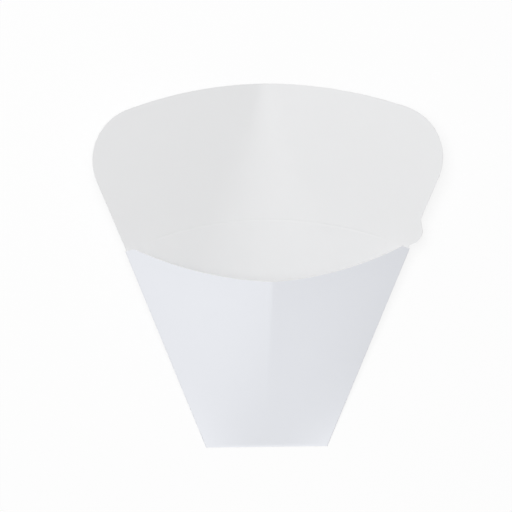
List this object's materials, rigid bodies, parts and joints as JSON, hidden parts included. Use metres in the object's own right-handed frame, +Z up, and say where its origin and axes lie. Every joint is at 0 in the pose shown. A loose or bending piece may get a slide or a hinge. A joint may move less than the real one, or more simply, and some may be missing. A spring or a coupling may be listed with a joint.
{
  "type": "crepe holder",
  "caption": "Folded white card pouch that holds a crepe or wrap in the hand: straight closed bottom, bowed mouth with a scooped front rim, and a wide back with rounded corners.",
  "frame": {"origin": "middle of the holder's footprint box, on the surface that it lies on", "axes": "+Y along the middle of the back panel from the bottom seam to the head, +Z up, from the back panel that it lies on to the front panel"},
  "size_m": [0.1756, 0.1822, 0.0397],
  "materials": {
    "card": "smooth matt white card"
  },
  "bodies": {
    "root": {"crepe_holder": "card"}
  },
  "joints": []
}
